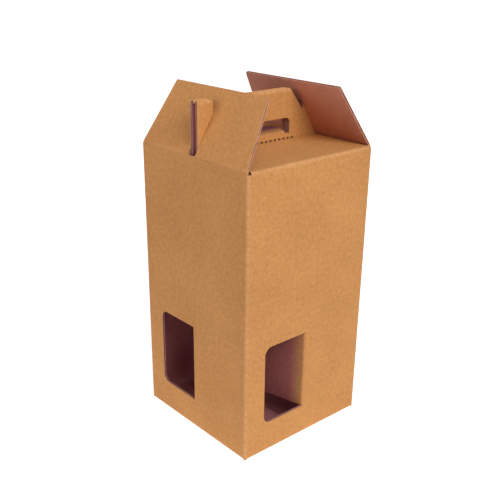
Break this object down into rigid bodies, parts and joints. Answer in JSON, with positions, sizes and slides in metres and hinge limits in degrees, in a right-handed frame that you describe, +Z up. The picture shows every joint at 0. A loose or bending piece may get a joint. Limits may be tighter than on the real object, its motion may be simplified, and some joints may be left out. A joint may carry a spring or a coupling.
{
  "type": "bottle carrier box",
  "caption": "Tall square kraft corrugated carrier box for wine bottles, with a folded handle through slotted lock flaps, low windows and inward divider tongues.",
  "frame": {"origin": "centre of the square base, on the surface that the box stands on", "axes": "+Z up, +X along the handle to the right, -Y out of the front wall"},
  "size_m": [0.18, 0.18, 0.3964],
  "materials": {
    "kraft_board": "uncoated brown kraft liner over a fluted core, matt"
  },
  "bodies": {
    "carton": {"carton": "kraft_board"},
    "left_flap": {"left_lock_flap": "kraft_board"},
    "right_flap": {"right_lock_flap": "kraft_board"}
  },
  "joints": [
    {"name": "left_lock_flap_fold", "type": "hinge", "parent": "carton", "child": "left_flap", "pos_m": [-0.0904, 0, 0.3315], "axis": [0, -1, 0], "range_deg": [0, 175]},
    {"name": "right_lock_flap_fold", "type": "hinge", "parent": "carton", "child": "right_flap", "pos_m": [0.0904, 0, 0.3315], "axis": [0, 1, 0], "range_deg": [0, 175]}
  ]
}
